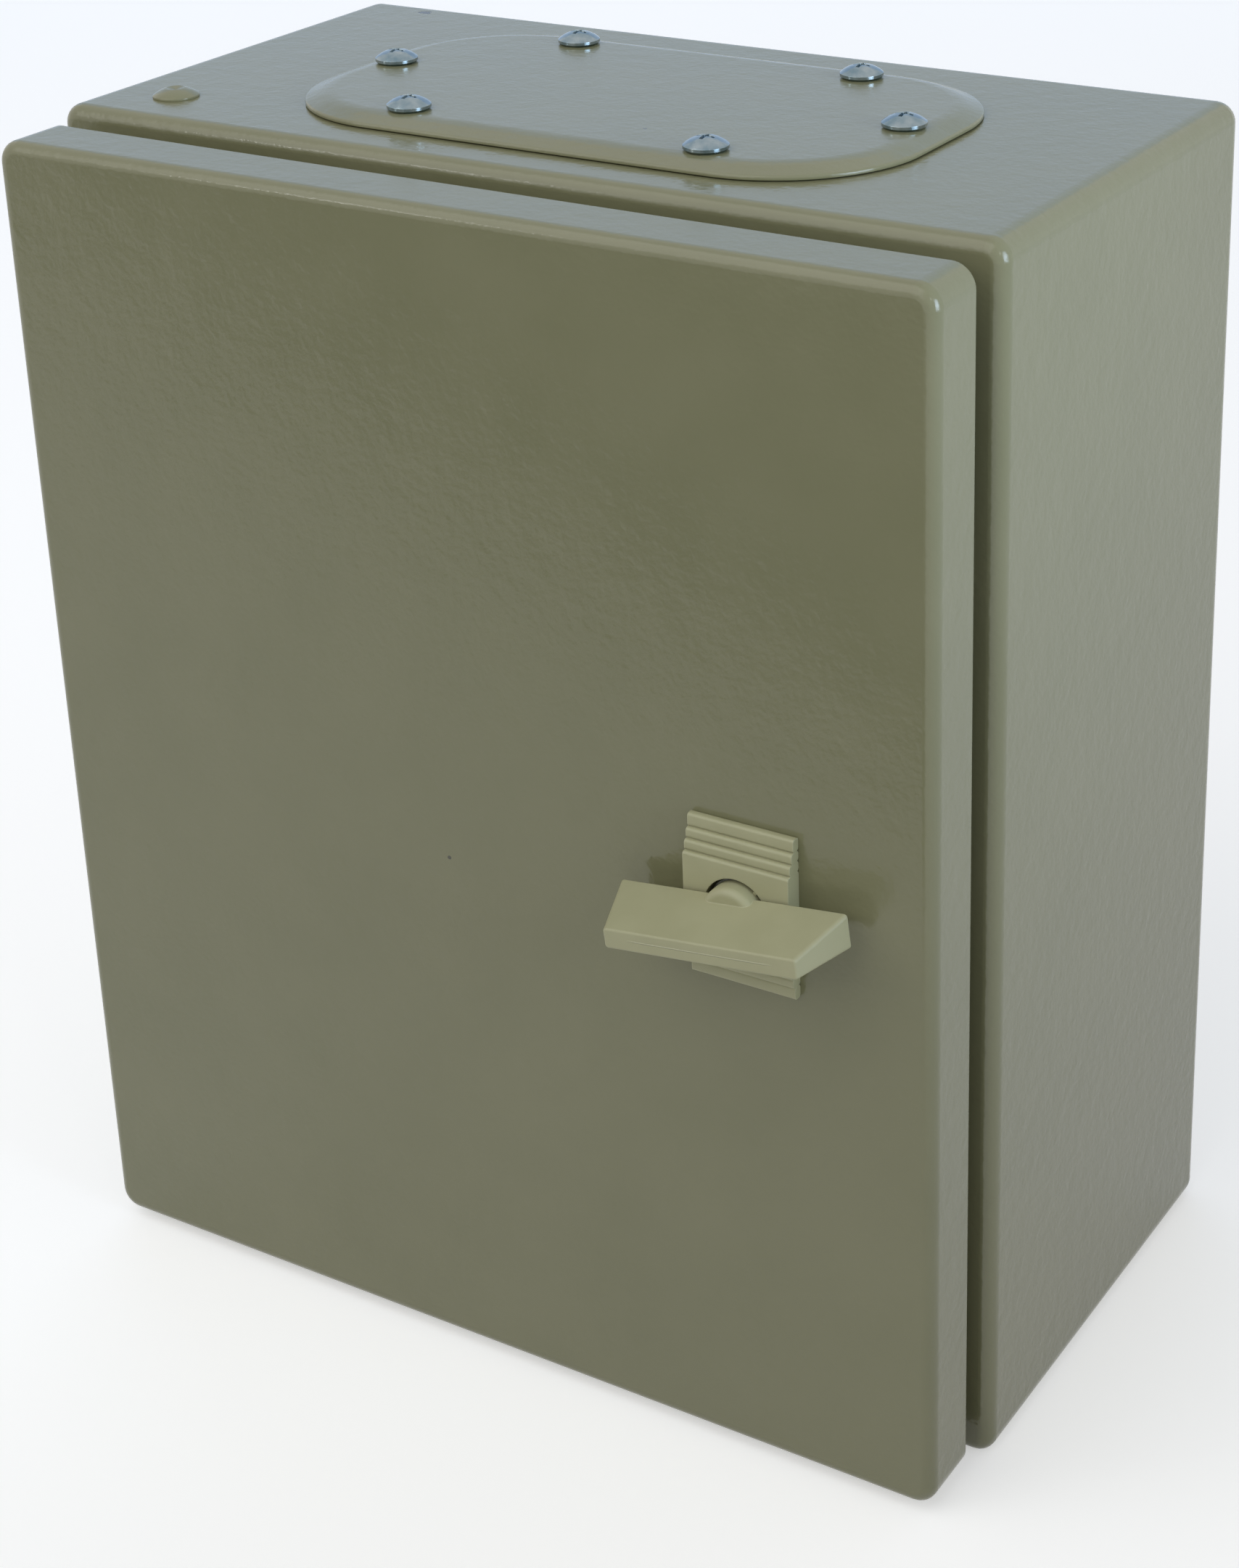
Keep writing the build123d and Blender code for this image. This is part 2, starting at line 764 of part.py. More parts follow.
def lock_seal():
    """Flat rubber ring between the lock's face and the door."""
    ring = Circle(lock_seal_outer_r) - Circle(lock_seal_inner_r)
    return front_slab(Pos(lock_x, lock_z) * ring, off_door(lock_seal_thickness), door_face_y)


def lock_nut():
    """Large thin nut that clamps the lock from inside the door."""
    nut = hex_nut(lock_nut_across, lock_nut_height, lock_barrel_r + thread_clearance)
    return Pos(lock_x, door_inner_y + lock_nut_height, lock_z) * Rot(90, 0, 0) * nut


def turned(piece):
    """Turn a piece of the latch by the tilt at which the handle stands."""
    return Pos(lock_x, 0, lock_z) * Rot(0, -wing_tilt, 0) * piece


def lock_spindle():
    """Die-cast core: squared front, flange, round shaft and squared tail for the cam."""
    flange_back = off_door(lock_recess_floor + spindle_float)
    flange_front = flange_back - spindle_flange_thickness
    cam_front = flange_inner_y + cam_to_flange
    square = Rectangle(spindle_square, spindle_square)
    core = front_slab(square, flange_front - square_depth, flange_front)
    core += rod_y(0, 0, spindle_flange_r, flange_front, flange_back)
    core += rod_y(0, 0, spindle_r, flange_back, cam_front)
    core += front_slab(square, cam_front, cam_front + cam_thickness - spindle_tail_short)
    end = cam_front + cam_thickness
    bore_front = end - cam_screw_depth - cam_screw_bore_room
    core -= rod_y(0, 0, cam_screw_r + thread_clearance, bore_front, end)
    return turned(core)


def spindle_seal():
    """Rubber ring on the spindle, in the housing's groove."""
    ring_r = spindle_r + oring_clearance + oring_section_r
    middle = off_door(lock_recess_floor) + oring_groove_depth / 2
    return turned(Pos(0, middle, 0) * Rot(90, 0, 0) * Torus(ring_r, oring_section_r))


def wing_section(length, top, bottom, distance):
    """Rounded end outline of the wing at one distance off the door."""
    outline = Pos(0, (top + bottom) / 2) * RectangleRounded(length, top - bottom, wing_corner_r)
    return Plane.XZ.offset(-off_door(distance)) * outline


def wing_handle():
    """Moulded wing: a wedge that thins and narrows to its free edge, on a round hub."""
    root = wing_section(wing_root_length, wing_root_top, wing_root_bottom, wing_root)
    tip = wing_section(wing_tip_length, wing_tip_top, wing_tip_bottom, wing_tip)
    wing = loft([root, tip])
    wing = fillet(wing.edges().group_by(Axis.Y)[0], wing_edge_r)
    flange_front = off_door(lock_recess_floor + spindle_float + spindle_flange_thickness)
    hub = rod_y(0, 0, hub_r, off_door(hub_front), flange_front)
    hub = fillet(hub.edges().group_by(Axis.Y)[0], hub_edge_r)
    socket_side = spindle_square + 2 * square_clearance
    socket = front_slab(
        Rectangle(socket_side, socket_side), flange_front - square_depth - square_clearance,
        flange_front + cut,
    )
    return turned(wing + hub - socket)


def lock_cam():
    """Flat cam that swings behind the case's flange. It hangs down while the wing lies across."""
    boss = Circle(cam_boss_r)
    tip = Pos(0, -cam_length + cam_tip_width / 2) * Circle(cam_tip_width / 2)
    outline = make_hull((boss + tip).edges())
    hole = Rectangle(spindle_square + 2 * square_clearance, spindle_square + 2 * square_clearance)
    cam_front = flange_inner_y + cam_to_flange
    return turned(front_slab(outline - hole, cam_front, cam_front + cam_thickness))


def cam_washer():
    """Washer under the cam screw."""
    seat = flange_inner_y + cam_to_flange + cam_thickness
    ring = Circle(cam_washer_r) - Circle(cam_screw_r + screw_clearance)
    return turned(front_slab(ring, seat, seat + cam_washer_thickness))


def cam_screw():
    """Socket head screw that holds the cam on the spindle's tail."""
    seat = flange_inner_y + cam_to_flange + cam_thickness + cam_washer_thickness
    end = seat + cam_screw_head_height
    head = rod_y(0, 0, cam_screw_head_r, seat, end)
    head = fillet(head.edges().group_by(Axis.Y)[-1], cam_screw_edge_r)
    shank = rod_y(0, 0, cam_screw_r, seat - cam_washer_thickness - cam_screw_depth, seat)
    socket = RegularPolygon(cam_screw_socket / 2, 6, major_radius=False)
    return turned(head + shank - front_slab(socket, end - cam_screw_socket_depth, end + cut))


# Earth studs


def earth_stud(length):
    """Plain welded stud standing on the XY plane."""
    stud = extrude(Circle(stud_r), amount=length)
    return chamfer(stud.edges().group_by(Axis.Z)[-1], stud_chamfer)


def earth_place():
    """Stand a piece on the case's left wall, pointing inwards."""
    return Pos(-half_width + case_sheet, case_earth_y, earth_height) * Rot(0, 90, 0)


def door_earth_place():
    """Stand a piece on the door's inner face, pointing to the back."""
    return Pos(-half_width + door_earth_inset, door_inner_y, earth_height) * Rot(-90, 0, 0)


def build_all():
    os.makedirs("parts", exist_ok=True)
    bore_r = stud_r + thread_clearance
    nut = hex_nut(nut_across, nut_height, bore_r)
    ring = washer(washer_r, stud_r + washer_clearance, washer_thickness)
    upper, lower = hinge_sides()

    save("enclosure_case", enclosure_case())
    save("gland_plate", gland_plate())
    save("gland_seal", gland_seal())
    seat = case_height + gland_rise
    save("gland_screws", group(Pos(x, y, seat) * gland_screw() for x, y in gland_spots))
    save("gland_nuts", group(Pos(x, y, case_height) * gland_nut() for x, y in gland_spots))
    save("upper_hinge_strap", hinge_strap(*upper))
    save("lower_hinge_strap", hinge_strap(*lower))
    save("domed_hinge_rivet", domed_rivet())
    save("flush_hinge_rivet", sunk_rivet_body())
    save("mounting_plate", mounting_plate())
    wall_y = back_y - case_sheet
    save("mounting_studs", group(on_back(plate_stud(), x, z, wall_y) for x, z in stud_spots()))
    save("plate_washers", group(on_back(ring, x, z, plate_front_y) for x, z in stud_spots()))
    nut_y = plate_front_y - washer_thickness
    save("plate_nuts", group(on_back(nut, x, z, nut_y) for x, z in stud_spots()))
    save("case_earth_stud", earth_place() * earth_stud(earth_stud_length))
    save("case_earth_washer", earth_place() * ring)
    save("case_earth_nut", earth_place() * Pos(0, 0, washer_thickness) * nut)

    save("door_panel", door_panel())
    save("door_seal", door_seal())
    save("upper_hinge_fork", hinge_fork(*upper))
    save("lower_hinge_fork", hinge_fork(*lower))
    save("hinge_pins", group(hinge_pin(level) for level, side in hinge_sides()))
    save("hinge_pin_clips", group(hinge_clip(level) for level, side in hinge_sides()))
    save("lock_housing", lock_housing())
    save("lock_seal", lock_seal())
    save("lock_nut", lock_nut())
    save("door_earth_stud", door_earth_place() * earth_stud(earth_stud_length))
    save("door_earth_washer", door_earth_place() * ring)
    save("door_earth_nut", door_earth_place() * Pos(0, 0, washer_thickness) * nut)

    save("wing_handle", wing_handle())
    save("lock_spindle", lock_spindle())
    save("spindle_seal", spindle_seal())
    save("lock_cam", lock_cam())
    save("cam_washer", cam_washer())
    save("cam_screw", cam_screw())


build_all()
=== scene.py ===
import bpy
import json
import math
from mathutils import Matrix, Vector


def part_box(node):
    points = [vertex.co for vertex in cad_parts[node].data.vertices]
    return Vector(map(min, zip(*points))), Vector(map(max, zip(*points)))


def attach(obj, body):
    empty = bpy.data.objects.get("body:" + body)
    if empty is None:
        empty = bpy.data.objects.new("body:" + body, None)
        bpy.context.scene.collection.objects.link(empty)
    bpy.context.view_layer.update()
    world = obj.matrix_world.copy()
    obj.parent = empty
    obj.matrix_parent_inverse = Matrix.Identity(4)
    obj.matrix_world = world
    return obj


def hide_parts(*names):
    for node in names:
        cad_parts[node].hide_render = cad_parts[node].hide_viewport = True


# Looks for a wall-mounting sheet steel enclosure: powder coated case and door, moulded lock and
# wing handle, zinc plated screws, foam seals and a galvanised mounting plate inside.
# Everything is in metres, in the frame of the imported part.

mm = 0.001

# The photograph's frame and the camera fitted to it
photo_width = 1708
photo_height = 2161
focal_pixels = 4083.05
axis_pixel_x = 1000.14
axis_pixel_y = 707.27
camera_azimuth = math.radians(31.41)
camera_elevation = math.radians(22.34)
camera_roll = math.radians(-1.45)
camera_distance = 708.32 * mm
camera_target = Vector((27.85 * mm, -12.5 * mm, 205.29 * mm))
sensor_side = 36.0

# Studio
floor_side = 6.0
floor_white = (0.80, 0.80, 0.80, 1.0)
floor_glow = 0.46
room_colour = (0.95, 0.97, 1.0, 1.0)
room_level = 0.42
card_foot = ((-1.0, -0.892), (0.1, -0.352))
card_height = 0.20
card_grey = (0.40, 0.40, 0.38, 1.0)
screen_foot = ((-2.06, 1.09), (0.0, 2.33))
screen_low = 0.2
screen_height = 1.8
screen_blue = (0.61, 0.755, 0.96, 1.0)
white = (1.0, 1.0, 1.0, 1.0)
black = (0.0, 0.0, 0.0, 1.0)
chalky = 0.9
window_spread = math.radians(60)

# Lamps: name, place, the point that it faces, side, power and colour
lamps = (
    ("front_light", (-0.4, -1.0, 1.3), (0, 0, 0.15), 1.6, 8.6, (1.0, 0.98, 0.94)),
    ("right_window", (0.62, -0.10, 0.42), (0.125, -0.05, 0.36), 0.3, 0.33, (0.64, 0.80, 1.0)),
    ("left_lamp", (-0.95, -1.25, 0.70), (0, 0, 0.25), 0.12, 0.4, (1.0, 1.0, 0.96)),
    ("right_lamp", (1.1, -0.9, 0.95), (0, 0, 0.25), 0.12, 0.4, (1.0, 1.0, 0.96)),
)

# Colours of the finishes, as linear values
coat_colour = (0.219, 0.217, 0.120, 1.0)
coat_pale = (0.234, 0.230, 0.131, 1.0)
bare_dark = (0.035, 0.034, 0.032, 1.0)
speck_dark = (0.09, 0.09, 0.065, 1.0)
plastic_colour = (0.425, 0.415, 0.25, 1.0)
# Paler plastic colour, used for random tone patches and for the painted highlights on edges and the
# parting line
plastic_pale_and_highlight = (0.60, 0.59, 0.39, 1.0)
zinc_blue = (0.17, 0.24, 0.28, 1.0)
zinc_pale = (0.31, 0.36, 0.38, 1.0)
galvanised_dark = (0.50, 0.52, 0.53, 1.0)
galvanised_light = (0.68, 0.70, 0.71, 1.0)
phosphate_dark = (0.06, 0.06, 0.065, 1.0)
phosphate_light = (0.12, 0.12, 0.125, 1.0)
copper_dark = (0.62, 0.33, 0.20, 1.0)
copper_light = (0.78, 0.47, 0.32, 1.0)
# Die-cast zinc is darker than the bare metal: painted shade for the spindle's flange that shows in
# the hub well's gap
cast_dark = (0.16, 0.16, 0.17, 1.0)
cast_light = (0.26, 0.26, 0.27, 1.0)
foam_dark = (0.028, 0.028, 0.030, 1.0)
foam_light = (0.050, 0.050, 0.052, 1.0)
rubber_black = (0.020, 0.020, 0.021, 1.0)
rubber_bloom = (0.040, 0.040, 0.041, 1.0)

# Marks on the coat: places and radii in millimetres
chip_place = (-102.5, 54.5, 300.0)
chip_radius = 1.7
door_speck_place = (-4.0, -87.5, 140.0)
gland_speck_place = (20.0, -30.0, 303.0)
speck_radius = 0.45

# Lock face: rolled bands from each end to the flat middle, in millimetres
roll_heights = (3.2, 2.5, 2.5)
roll_step = 0.83
roll_edge = 0.75
hub_well_r = 8.0
hub_well_floor = 0.5
spindle_bore_r = 6.05
barrel_r = 9.0
barrel_half_flat = 8.0
seal_seat_r = 11.9
seal_seat_depth = 1.0
barrel_root = 0.2
key_angle = math.radians(50.0)
key_size = (1.4, 0.7, 1.0)
key_behind_face = 0.5
key_edge = 0.15
rod_sides = 96
crease_angle = math.radians(35)

# Parting line on the wing's free edge, along the tilted wing, in millimetres
wing_tilt = math.radians(6.8)
parting_height = -1.7
parting_half_length = 17.0
parting_front = 20.0
parting_thickness = 0.17


# Nodes of the materials


def start_finish(name):
    """New material with its shader and the piece's own coordinates."""
    material = bpy.data.materials.new(name)
    material.use_nodes = True
    tree = material.node_tree
    shader = tree.nodes["Principled BSDF"]
    place = tree.nodes.new("ShaderNodeTexCoord").outputs["Object"]
    return material, tree, shader, place


def cloudy(tree, place, size, detail=2.0):
    """Soft random patches of about this size in millimetres."""
    node = tree.nodes.new("ShaderNodeTexNoise")
    node.inputs["Scale"].default_value = 1.0 / (size * mm)
    node.inputs["Detail"].default_value = detail
    tree.links.new(place, node.inputs["Vector"])
    return node.outputs["Fac"]


def cells(tree, place, size, output="Color"):
    """Cells of about this size in millimetres."""
    node = tree.nodes.new("ShaderNodeTexVoronoi")
    node.inputs["Scale"].default_value = 1.0 / (size * mm)
    tree.links.new(place, node.inputs["Vector"])
    return node.outputs[output]


def stretched(tree, place, factors):
    """Coordinates squeezed along some axes, for brushed and drawn finishes."""
    node = tree.nodes.new("ShaderNodeMapping")
    node.inputs["Scale"].default_value = factors
    tree.links.new(place, node.inputs["Vector"])
    return node.outputs["Vector"]


def spread(tree, value, low, high, out_low, out_high):
    """Spread a value from one range to another, clamped."""
    node = tree.nodes.new("ShaderNodeMapRange")
    for name, number in (
        ("From Min", low), ("From Max", high), ("To Min", out_low), ("To Max", out_high)
    ):
        node.inputs[name].default_value = number
    tree.links.new(value, node.inputs["Value"])
    return node.outputs["Result"]


def combine(tree, operation, first, second):
    """Arithmetic on two values, of which the second may be a number."""
    node = tree.nodes.new("ShaderNodeMath")
    node.operation = operation
    tree.links.new(first, node.inputs[0])
    if isinstance(second, float):
        node.inputs[1].default_value = second
    else:
        tree.links.new(second, node.inputs[1])
    return node.outputs["Value"]


def blend_colour(tree, amount, first, second):
    """Mix two colours by an amount from 0 to 1. A colour is four numbers or another output."""
    node = tree.nodes.new("ShaderNodeMix")
    node.data_type = "RGBA"
    tree.links.new(amount, node.inputs["Factor"])
    for socket, colour in ((node.inputs[6], first), (node.inputs[7], second)):
        if isinstance(colour, tuple):
            socket.default_value = colour
        else:
            tree.links.new(colour, socket)
    return node.outputs[2]


def relief(tree, height, depth, under=None):
    """Bump of this depth in millimetres, over another relief if one is given."""
    node = tree.nodes.new("ShaderNodeBump")
    node.inputs["Strength"].default_value = 1.0
    node.inputs["Distance"].default_value = depth * mm
    tree.links.new(height, node.inputs["Height"])
    if under is not None:
        tree.links.new(under, node.inputs["Normal"])
    return node.outputs["Normal"]


def soft_edges(tree, radius):
    """Shading that rounds sharp edges by this radius in millimetres."""
    node = tree.nodes.new("ShaderNodeBevel")
    node.samples = 6
    node.inputs["Radius"].default_value = radius * mm
    return node.outputs["Normal"]


def edge_mask(tree, radius):
    """1 near sharp edges and 0 on open faces."""
    rounded = soft_edges(tree, radius)
    flat = tree.nodes.new("ShaderNodeNewGeometry").outputs["Normal"]
    node = tree.nodes.new("ShaderNodeVectorMath")
    node.operation = "DOT_PRODUCT"
    tree.links.new(rounded, node.inputs[0])
    tree.links.new(flat, node.inputs[1])
    return spread(tree, node.outputs["Value"], 0.80, 0.99, 1.0, 0.0)


def near_point(tree, place, point, radius, ragged):
    """1 within a ragged spot of this radius around a point in millimetres, 0 outside."""
    node = tree.nodes.new("ShaderNodeVectorMath")
    node.operation = "DISTANCE"
    tree.links.new(place, node.inputs[0])
    node.inputs[1].default_value = [c * mm for c in point]
    uneven = spread(tree, ragged, 0.3, 0.7, -0.45 * radius * mm, 0.45 * radius * mm)
    distance = combine(tree, "ADD", node.outputs["Value"], uneven)
    return spread(tree, distance, 0.85 * radius * mm, radius * mm, 1.0, 0.0)


def within(tree, value, low, high, fade):
    """1 between two levels and 0 outside them, with a soft step."""
    rise = spread(tree, value, low - fade, low + fade, 0.0, 1.0)
    return combine(tree, "MULTIPLY", rise, spread(tree, value, high - fade, high + fade, 1.0, 0.0))


def apply_to(material, names):
    """Give CAD nodes this material."""
    for name in names:
        obj = frame["nodes"][name]
        obj.data.materials.clear()
        obj.data.materials.append(material)


# Finishes


def powder_coat():
    """Pebble grey powder coat: orange peel, faint cloudiness, a chip and two specks."""
    material, tree, shader, place = start_finish("pebble_grey_powder_coat")
    patches = cloudy(tree, place, 28.0, 4.0)
    grains = cloudy(tree, place, 0.5, 2.0)
    colour = blend_colour(tree, spread(tree, patches, 0.3, 0.7, 0.0, 1.0), coat_colour, coat_pale)
    speckle = spread(tree, grains, 0.62, 0.75, 0.0, 0.25)
    colour = blend_colour(tree, speckle, colour, coat_pale)
    ragged = cloudy(tree, place, 1.3, 3.0)
    chip = near_point(tree, place, chip_place, chip_radius, ragged)
    colour = blend_colour(tree, chip, colour, bare_dark)
    for point in (door_speck_place, gland_speck_place):
        speck = near_point(tree, place, point, speck_radius, ragged)
        colour = blend_colour(tree, speck, colour, speck_dark)
    tree.links.new(colour, shader.inputs["Base Color"])
    rough = spread(tree, patches, 0.3, 0.7, 0.15, 0.20)
    tree.links.new(rough, shader.inputs["Roughness"])
    peel = cloudy(tree, place, 1.5, 1.5)
    waves = cloudy(tree, place, 5.0, 1.0)
    surface = soft_edges(tree, 0.35)
    surface = relief(tree, waves, 0.10, surface)
    surface = relief(tree, peel, 0.07, surface)
    surface = relief(tree, combine(tree, "MULTIPLY", chip, -1.0), 0.12, surface)
    tree.links.new(surface, shader.inputs["Normal"])
    return material


def parting_line(tree, place):
    """1 on the moulding's faint parting line along the wing's free edge."""
    low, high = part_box("lock_housing")
    level = tree.nodes.new("ShaderNodeMapping")
    level.vector_type = "TEXTURE"
    level.inputs["Location"].default_value = (
        (low[0] + high[0]) / 2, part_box("door_panel")[0][1], (low[2] + high[2]) / 2
    )
    level.inputs["Rotation"].default_value = (0.0, -wing_tilt, 0.0)
    tree.links.new(place, level.inputs["Vector"])
    axes = tree.nodes.new("ShaderNodeSeparateXYZ")
    tree.links.new(level.outputs["Vector"], axes.inputs["Vector"])
    half = parting_half_length * mm
    across = within(tree, axes.outputs["X"], -half, half, 1.5 * mm)
    low_edge = (parting_height - parting_thickness) * mm
    high_edge = (parting_height + parting_thickness) * mm
    line = within(tree, axes.outputs["Z"], low_edge, high_edge, 0.05 * mm)
    front = spread(tree, axes.outputs["Y"], -parting_front * mm - mm, -parting_front * mm, 1.0, 0.0)
    return combine(tree, "MULTIPLY", combine(tree, "MULTIPLY", across, line), front)


def moulded_plastic():
    """Beige polyamide: fine grain, a parting line, and painted highlights on its edges and along
    the parting line.
    """
    material, tree, shader, place = start_finish("beige_moulded_plastic")
    patches = cloudy(tree, place, 7.0, 3.0)
    # Painted highlight: sharp edges are paled as if they caught the light
    edge_highlight = combine(tree, "MULTIPLY", edge_mask(tree, 0.45), 0.7)
    colour = blend_colour(
        tree, spread(tree, patches, 0.35, 0.65, 0.0, 0.10), plastic_colour, plastic_pale_and_highlight
    )
    # Painted highlight: the parting line is paled over its real relief
    line = parting_line(tree, place)
    colour = blend_colour(tree, combine(tree, "MAXIMUM", edge_highlight, line), colour, plastic_pale_and_highlight)
    tree.links.new(colour, shader.inputs["Base Color"])
    rough = spread(tree, patches, 0.3, 0.7, 0.40, 0.50)
    tree.links.new(rough, shader.inputs["Roughness"])
    grain = cloudy(tree, place, 0.25, 2.0)
    surface = relief(tree, line, 0.20, soft_edges(tree, 0.35))
    surface = relief(tree, grain, 0.012, surface)
    tree.links.new(surface, shader.inputs["Normal"])
    return material


def bright_zinc():
    """Blue-white zinc plate with a faint tint and fine tumbling marks."""
    material, tree, shader, place = start_finish("bright_zinc_plate")
    shader.inputs["Metallic"].default_value = 1.0
    tint = spread(tree, cloudy(tree, place, 3.0, 3.0), 0.3, 0.7, 0.0, 1.0)
    tree.links.new(blend_colour(tree, tint, zinc_blue, zinc_pale), shader.inputs["Base Color"])
    marks = cloudy(tree, stretched(tree, place, (1.0, 3.0, 1.0)), 0.6, 4.0)
    tree.links.new(spread(tree, marks, 0.3, 0.7, 0.10, 0.22), shader.inputs["Roughness"])
    surface = relief(tree, marks, 0.012, soft_edges(tree, 0.12))
    tree.links.new(surface, shader.inputs["Normal"])
    return material


def galvanised_sheet():
    """Hot-dip galvanised sheet with its crystal pattern."""
    material, tree, shader, place = start_finish("galvanised_sheet")
    shader.inputs["Metallic"].default_value = 1.0
    crystals = tree.nodes.new("ShaderNodeSeparateColor")
    tree.links.new(cells(tree, place, 7.0), crystals.inputs["Color"])
    tone = spread(tree, crystals.outputs["Red"], 0.0, 1.0, 0.0, 1.0)
    colour = blend_colour(tree, tone, galvanised_dark, galvanised_light)
    tree.links.new(colour, shader.inputs["Base Color"])
    rough = spread(tree, crystals.outputs["Green"], 0.0, 1.0, 0.33, 0.52)
    tree.links.new(rough, shader.inputs["Roughness"])
    drawn = cloudy(tree, stretched(tree, place, (1.0, 1.0, 0.03)), 0.4, 2.0)
    tree.links.new(relief(tree, drawn, 0.008), shader.inputs["Normal"])
    return material


def plain_metal(name, dark, light, rough_low, rough_high, grain, depth):
    """Bare or plated metal with mottled tone and a fine grain."""
    material, tree, shader, place = start_finish(name)
    shader.inputs["Metallic"].default_value = 1.0
    tone = spread(tree, cloudy(tree, place, 4.0 * grain, 3.0), 0.3, 0.7, 0.0, 1.0)
    tree.links.new(blend_colour(tree, tone, dark, light), shader.inputs["Base Color"])
    fine = cloudy(tree, place, grain, 3.0)
    tree.links.new(spread(tree, fine, 0.3, 0.7, rough_low, rough_high), shader.inputs["Roughness"])
    surface = relief(tree, fine, depth, soft_edges(tree, 0.12))
    tree.links.new(surface, shader.inputs["Normal"])
    return material


def foam():
    """Foamed-in-place seal: a matt skin with small bubbles."""
    material, tree, shader, place = start_finish("foamed_seal")
    bubbles = cells(tree, place, 1.1, "Distance")
    patches = cloudy(tree, place, 9.0, 3.0)
    tone = spread(tree, patches, 0.3, 0.7, 0.0, 1.0)
    colour = blend_colour(tree, tone, foam_dark, foam_light)
    tree.links.new(colour, shader.inputs["Base Color"])
    tree.links.new(spread(tree, bubbles, 0.0, 0.8, 0.72, 0.92), shader.inputs["Roughness"])
    surface = relief(tree, patches, 0.25)
    tree.links.new(relief(tree, bubbles, 0.06, surface), shader.inputs["Normal"])
    return material


def rubber():
    """Moulded nitrile rubber, satin with a faint bloom."""
    material, tree, shader, place = start_finish("black_rubber")
    bloom = spread(tree, cloudy(tree, place, 2.5, 3.0), 0.4, 0.7, 0.0, 1.0)
    colour = blend_colour(tree, bloom, rubber_black, rubber_bloom)
    tree.links.new(colour, shader.inputs["Base Color"])
    tree.links.new(spread(tree, bloom, 0.0, 1.0, 0.42, 0.6), shader.inputs["Roughness"])
    tree.links.new(relief(tree, cloudy(tree, place, 0.3), 0.01), shader.inputs["Normal"])
    return material


def finish_nodes():
    """Give every CAD node the finish of its slot in the record."""
    finishes = {
        "coated_steel": powder_coat(),
        "foam_seal": foam(),
        "rubber_seal": rubber(),
        "bright_zinc": bright_zinc(),
        "spring_steel": plain_metal(
            "phosphated_spring_steel", phosphate_dark, phosphate_light, 0.38, 0.55, 0.4, 0.008
        ),
        "galvanised_steel": galvanised_sheet(),
        "copper_flashed_steel": plain_metal(
            "copper_flashed_steel", copper_dark, copper_light, 0.24, 0.42, 0.5, 0.01
        ),
        "handle_plastic": moulded_plastic(),
        "cast_zinc": plain_metal(
            "die_cast_zinc", cast_dark, cast_light, 0.28, 0.44, 0.35, 0.01
        ),
    }
    for part in frame["record"]["subparts"]:
        apply_to(finishes[part["material_slot"]], [part["node"]])
    return finishes


# Modelled pieces


def add_block(low, high):
    """Box between two corners, with its place in its mesh."""
    bpy.ops.object.select_all(action="DESELECT")
    middle = [(a + b) / 2 for a, b in zip(low, high)]
    bpy.ops.mesh.primitive_cube_add(size=1.0, location=middle)
    block = bpy.context.object
    block.scale = [b - a for a, b in zip(low, high)]
    bpy.ops.object.transform_apply(location=True, rotation=True, scale=True)
    return block


def add_rod(x, z, radius, y_low, y_high):
    """Round bar along Y, with its place in its mesh."""
    bpy.ops.object.select_all(action="DESELECT")
    bpy.ops.mesh.primitive_cylinder_add(
        vertices=rod_sides, radius=radius, depth=y_high - y_low,
        location=(x, (y_low + y_high) / 2, z), rotation=(math.radians(90), 0, 0),
    )
    bpy.ops.object.transform_apply(location=True, rotation=True, scale=True)
    return bpy.context.object


def settle_modifier(piece, kind, settings):
    """Add a modifier with these settings and apply it."""
    bpy.ops.object.select_all(action="DESELECT")
    piece.select_set(True)
    bpy.context.view_layer.objects.active = piece
    modifier = piece.modifiers.new(kind.lower(), kind)
    for name, value in settings.items():
        setattr(modifier, name, value)
    bpy.ops.object.modifier_apply(modifier=modifier.name)


def round_off(piece, width, segments=5):
    """Round every sharp edge."""
    settings = {"width": width, "segments": segments, "limit_method": "ANGLE"}
    settle_modifier(piece, "BEVEL", settings)


def carve(piece, tool, operation):
    """Cut, join or intersect a piece with a tool, which is used up."""
    settle_modifier(piece, "BOOLEAN", {"operation": operation, "object": tool, "solver": "EXACT"})
    bpy.data.objects.remove(tool)


def gather(pieces, name):
    """Join pieces into one object with smooth shading and crisp corners."""
    bpy.ops.object.select_all(action="DESELECT")
    for piece in pieces:
        piece.select_set(True)
    bpy.context.view_layer.objects.active = pieces[0]
    bpy.ops.object.join()
    whole = bpy.context.object
    whole.name = name
    bpy.ops.object.shade_smooth_by_angle(angle=crease_angle)
    return whole


def hang_on(piece, body, slot, finishes, nodes):
    """Let a piece ride on a body, take its finish and stand for CAD nodes."""
    piece.data.materials.clear()
    piece.data.materials.append(finishes[slot])
    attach(piece, body)
    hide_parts(*nodes)


def mould_roll(low, high):
    """Bar with rounded long edges and straight ends."""
    spare = 2 * roll_edge * mm
    roll = add_block((low[0] - spare, low[1], low[2]), (high[0] + spare, high[1], high[2]))
    round_off(roll, roll_edge * mm)
    ends = add_block(
        (low[0], low[1] - spare, low[2] - spare), (high[0], high[1] + spare, high[2] + spare)
    )
    carve(roll, ends, "INTERSECT")
    return roll


